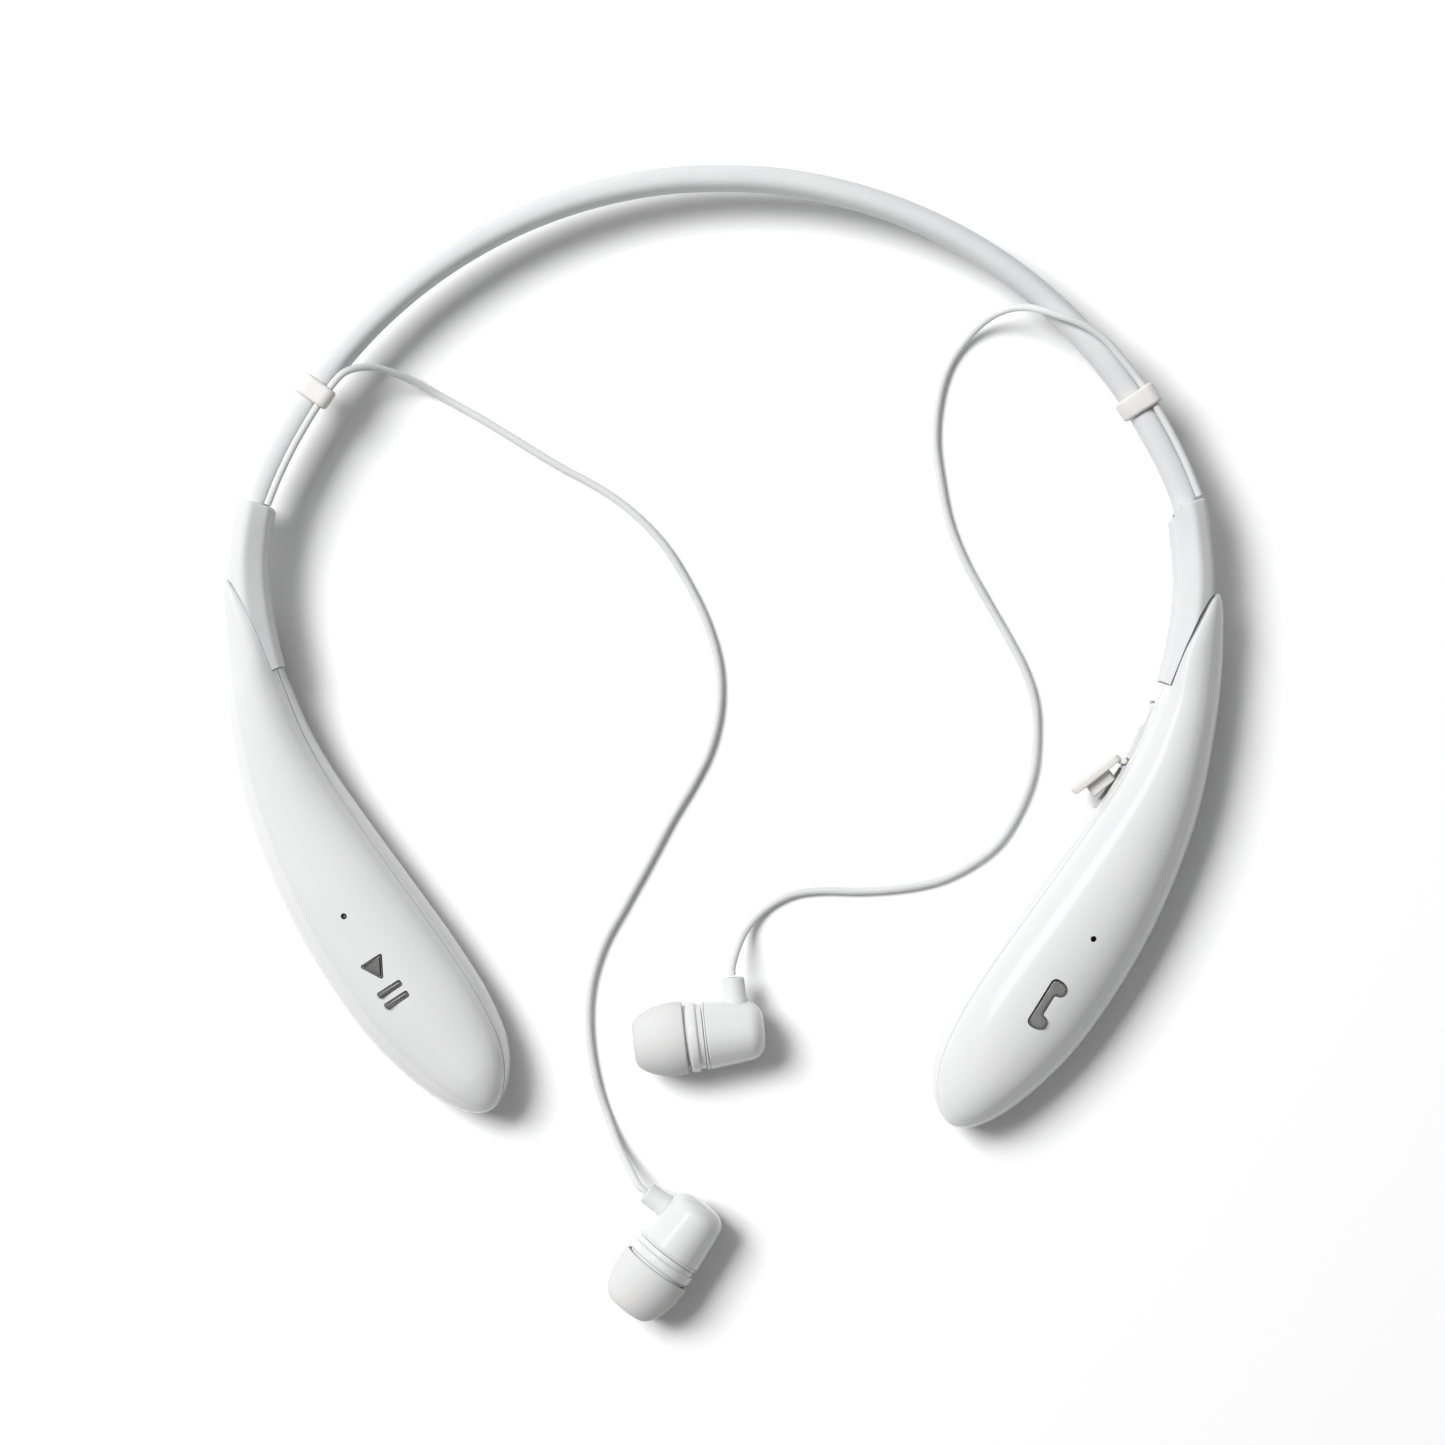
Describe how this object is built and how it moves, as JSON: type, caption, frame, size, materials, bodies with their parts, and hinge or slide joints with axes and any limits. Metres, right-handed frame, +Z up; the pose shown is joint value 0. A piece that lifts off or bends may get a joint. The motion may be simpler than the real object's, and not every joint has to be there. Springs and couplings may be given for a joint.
{
  "type": "neckband earphones",
  "caption": "Neckband earphones: a springy open neck loop with a slim control pod at each end, and an in-ear earbud on a thin cord from each arm.",
  "frame": {"origin": "middle of the object's underside, on the surface it lies on", "axes": "+Y to the top of the neck loop, +X to the pod with the call key, +Z up"},
  "size_m": [0.1652, 0.1902, 0.0142],
  "materials": {
    "gloss_white": "glossy white moulded shell, smooth",
    "satin_white": "satin white moulded plastic with a very fine grain",
    "soft_white": "soft white cord jacket, satin",
    "warm_white": "warm off-white moulded elastomer, matte",
    "silicone": "white silicone, matte and slightly see-through at its edges",
    "dark_metal": "dark polished metal-look sign with a bright bevelled edge",
    "steel": "plain steel",
    "board_green": "green solder mask",
    "black_plastic": "black moulded plastic",
    "foil": "soft foil pouch",
    "clear_plastic": "clear light pipe"
  },
  "bodies": {
    "left_arm": {"left_band_sleeve": "satin_white", "left_memory_wire": "steel", "left_collar": "satin_white", "left_upper_shell": "gloss_white", "left_lower_shell": "gloss_white", "left_pod_screw_1": "steel", "left_pod_screw_2": "steel", "left_earbud_housing": "gloss_white", "left_earbud_front_ring": "gloss_white", "left_strain_relief": "soft_white", "left_driver": "steel", "left_nozzle_mesh": "steel", "left_cord": "soft_white", "battery": "foil", "left_circuit_board": "board_green", "play_pause_switch": "black_plastic", "vibration_motor": "steel", "indicator_light": "clear_plastic"},
    "right_arm": {"right_band_sleeve": "satin_white", "right_memory_wire": "steel", "right_collar": "satin_white", "right_upper_shell": "gloss_white", "right_lower_shell": "gloss_white", "right_pod_screw_1": "steel", "right_pod_screw_2": "steel", "right_earbud_housing": "gloss_white", "right_earbud_front_ring": "gloss_white", "right_strain_relief": "soft_white", "right_driver": "steel", "right_nozzle_mesh": "steel", "right_cord": "soft_white", "right_circuit_board": "board_green", "radio_module": "steel", "usb_port": "steel", "call_key_switch": "black_plastic", "volume_up_switch": "black_plastic", "volume_down_switch": "black_plastic", "microphone": "steel", "microphone_gasket": "black_plastic"},
    "left_clip": {"left_cable_clip": "warm_white"},
    "right_clip": {"right_cable_clip": "warm_white"},
    "play_pause_key": {"play_pause_key": "dark_metal"},
    "call_key": {"call_key": "dark_metal"},
    "volume_rocker": {"volume_rocker": "gloss_white"},
    "port_cover": {"port_cover": "warm_white"},
    "left_ear_tip": {"left_ear_tip": "silicone"},
    "right_ear_tip": {"right_ear_tip": "silicone"}
  },
  "joints": [
    {"name": "band_flex", "type": "hinge", "parent": "left_arm", "child": "right_arm", "pos_m": [0, 0.0931, 0.009], "axis": [0, 0, 1], "range_deg": [-2, 18], "stiffness_Nm_per_rad": 0.5},
    {"name": "left_clip_slide", "type": "hinge", "parent": "left_arm", "child": "left_clip", "pos_m": [0, 0.0119, 0.009], "axis": [0, 0, 1], "range_deg": [0, 9.5]},
    {"name": "right_clip_slide", "type": "hinge", "parent": "right_arm", "child": "right_clip", "pos_m": [0, 0.0119, 0.009], "axis": [0, 0, 1], "range_deg": [-8.5, 0]},
    {"name": "play_pause_press", "type": "slide", "parent": "left_arm", "child": "play_pause_key", "axis": [0, 0, -1], "range_m": [0, 0.0004], "stiffness_N_per_m": 400},
    {"name": "call_press", "type": "slide", "parent": "right_arm", "child": "call_key", "axis": [0, 0, -1], "range_m": [0, 0.0004], "stiffness_N_per_m": 400},
    {"name": "volume_rock", "type": "hinge", "parent": "right_arm", "child": "volume_rocker", "pos_m": [0.07024, 0.00175, 0.0066], "axis": [0, 0, 1], "range_deg": [-3, 3], "stiffness_Nm_per_rad": 0.1},
    {"name": "port_cover_hinge", "type": "hinge", "parent": "right_arm", "child": "port_cover", "pos_m": [0.0663, -0.0027, 0.0066], "axis": [0, 0, 1], "range_deg": [-45, 20]},
    {"name": "left_tip_pull_off", "type": "slide", "parent": "left_arm", "child": "left_ear_tip", "axis": [-0.6046, -0.7965, 0], "range_m": [0, 0.008]},
    {"name": "right_tip_pull_off", "type": "slide", "parent": "right_arm", "child": "right_ear_tip", "axis": [-0.9936, -0.1132, 0], "range_m": [0, 0.008]}
  ]
}
